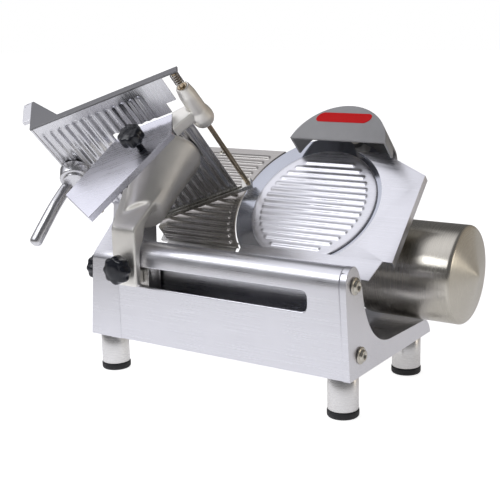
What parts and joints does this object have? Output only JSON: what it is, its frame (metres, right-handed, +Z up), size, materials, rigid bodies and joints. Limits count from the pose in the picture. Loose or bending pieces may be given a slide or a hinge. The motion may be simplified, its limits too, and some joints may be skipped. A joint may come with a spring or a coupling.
{
  "type": "deli meat slicer",
  "caption": "Gravity-feed meat slicer: low housing on round feet, round knife leaning back, sliding ribbed food tray, parked pusher, gauge plate, side motor and top sharpener.",
  "frame": {"origin": "middle of the machine's footprint box, on the surface it stands on", "axes": "+X along the carriage travel towards the motor end, +Y away from the operator, +Z up"},
  "size_m": [0.7118, 0.467, 0.5437],
  "materials": {
    "cast_aluminium": "sand-cast, polished by hand, satin",
    "brushed_aluminium": "anodised, fine brushed grain",
    "stainless": "turned and brushed stainless",
    "polished_steel": "ground and polished steel",
    "grey_paint": "satin grey paint",
    "black_plastic": "black bakelite, semi-gloss",
    "black_rubber": "matt",
    "bronze": "satin bronze",
    "cast_iron": "as cast",
    "zinc_steel": "zinc-plated",
    "stone": "bonded abrasive",
    "green_plastic": "moulded",
    "red_plastic": "moulded"
  },
  "bodies": {
    "base": {"base_casting": "brushed_aluminium", "right_end_plate": "cast_aluminium", "left_end_casting": "cast_aluminium", "upper_end_screw": "zinc_steel", "lower_end_screw": "zinc_steel", "bottom_cover": "stainless", "foot_front_right": "brushed_aluminium", "foot_front_left": "brushed_aluminium", "foot_back_right": "brushed_aluminium", "foot_back_left": "brushed_aluminium", "carriage_rod": "polished_steel", "guide_rod": "polished_steel", "run_capacitor": "black_plastic", "cable_gland": "black_plastic", "switch_bezel": "black_plastic", "switch_body": "black_plastic", "gearbox_cradle": "cast_aluminium", "gearbox_housing": "cast_iron", "gearbox_cover": "cast_iron", "knife_housing": "cast_aluminium", "front_knife_bearing": "polished_steel", "rear_knife_bearing": "polished_steel", "knife_cover": "brushed_aluminium", "fence_plate": "brushed_aluminium", "gauge_support": "cast_aluminium", "motor_shell": "stainless", "motor_flange": "cast_aluminium", "motor_stator": "cast_iron", "front_motor_bearing": "polished_steel", "rear_motor_bearing": "polished_steel"},
    "carriage": {"carriage_block": "cast_aluminium", "carriage_bushing": "bronze", "carriage_arm": "cast_aluminium", "tray": "brushed_aluminium", "tray_lower_bar": "stainless", "pusher_rod": "bronze", "bumper_spring": "cast_iron", "carriage_handle": "polished_steel"},
    "arm_knob": {"arm_knob": "black_plastic"},
    "pusher_carrier": {"pusher_bushing": "bronze"},
    "pusher": {"pusher_sleeve": "cast_aluminium", "pusher_plate": "brushed_aluminium", "pusher_knob": "black_plastic"},
    "gauge": {"gauge_plate": "brushed_aluminium", "gauge_bracket": "cast_aluminium"},
    "index": {"index_knob": "black_plastic", "index_shaft": "polished_steel"},
    "knife": {"blade": "polished_steel", "blade_shaft": "polished_steel", "worm_wheel": "bronze"},
    "rotor": {"motor_rotor": "cast_iron"},
    "cover_lock": {"cover_lock_knob": "black_plastic"},
    "sharpener": {"sharpener_cover": "grey_paint", "sharpener_post": "polished_steel"},
    "grind_slide": {"grind_button": "black_plastic"},
    "grind_wheel": {"grind_stone": "stone"},
    "deburr_slide": {"deburr_pull": "zinc_steel"},
    "deburr_wheel": {"deburr_stone": "stone"},
    "start_button": {"start_button": "green_plastic"},
    "stop_button": {"stop_button": "red_plastic"}
  },
  "joints": [
    {"name": "carriage_slide", "type": "slide", "parent": "base", "child": "carriage", "axis": [1, 0, 0], "range_m": [0, 0.3]},
    {"name": "arm_knob_turn", "type": "hinge", "parent": "carriage", "child": "arm_knob", "pos_m": [-0.16714, -0.17396, 0.204], "axis": [0, -1, 0], "range_deg": [0, 540]},
    {"name": "pusher_slide", "type": "slide", "parent": "carriage", "child": "pusher_carrier", "axis": [0, -0.7071, 0.7071], "range_m": [0, 0.005]},
    {"name": "pusher_swing", "type": "hinge", "parent": "pusher_carrier", "child": "pusher", "pos_m": [-0.07368, -0.06716, 0.47685], "axis": [0, -0.7071, 0.7071], "range_deg": [0, 318]},
    {"name": "index_turn", "type": "hinge", "parent": "base", "child": "index", "pos_m": [-0.26715, -0.10796, 0.183], "axis": [-1, 0, 0], "range_deg": [0, 300]},
    {"name": "gauge_slide", "type": "slide", "parent": "base", "child": "gauge", "axis": [0, 0.7071, -0.7071], "range_m": [0, 0.015]},
    {"name": "knife_spin", "type": "hinge", "parent": "base", "child": "knife", "pos_m": [0.06875, 0.08144, 0.2931], "axis": [0, -0.7071, 0.7071], "continuous": true},
    {"name": "rotor_spin", "type": "hinge", "parent": "base", "child": "rotor", "pos_m": [0.23286, 0.13994, 0.184], "axis": [1, 0, 0], "continuous": true},
    {"name": "cover_lock_turn", "type": "hinge", "parent": "base", "child": "cover_lock", "pos_m": [0.06875, 0.19458, 0.17996], "axis": [0, -0.7071, 0.7071], "range_deg": [0, 90]},
    {"name": "sharpener_lift", "type": "slide", "parent": "base", "child": "sharpener", "axis": [0, 0.7071, 0.7071], "range_m": [0, 0.04]},
    {"name": "grind_press", "type": "slide", "parent": "sharpener", "child": "grind_slide", "axis": [0, -0.7071, 0.7071], "range_m": [0, 0.0025], "stiffness_N_per_m": 600, "springref_m": -0.003},
    {"name": "grind_stone_spin", "type": "hinge", "parent": "grind_slide", "child": "grind_wheel", "pos_m": [0.07476, 0.19175, 0.38644], "axis": [0, -0.7071, 0.7071], "continuous": true},
    {"name": "deburr_press", "type": "slide", "parent": "sharpener", "child": "deburr_slide", "axis": [0, 0.7071, -0.7071], "range_m": [0, 0.003], "stiffness_N_per_m": 600, "springref_m": -0.003},
    {"name": "deburr_stone_spin", "type": "hinge", "parent": "deburr_slide", "child": "deburr_wheel", "pos_m": [0.10275, 0.17124, 0.40694], "axis": [0, -0.7071, 0.7071], "continuous": true},
    {"name": "start_press", "type": "slide", "parent": "base", "child": "start_button", "axis": [0.9962, 0, -0.0872], "range_m": [0, 0.003], "stiffness_N_per_m": 400, "springref_m": -0.003},
    {"name": "stop_press", "type": "slide", "parent": "base", "child": "stop_button", "axis": [0.9962, 0, -0.0872], "range_m": [0, 0.003], "stiffness_N_per_m": 400, "springref_m": -0.003}
  ],
  "couplings": [
    {"joint": "index_turn", "follows": "gauge_slide", "rad_per_m": 349.06},
    {"joint": "rotor_spin", "follows": "knife_spin", "ratio": 6}
  ]
}
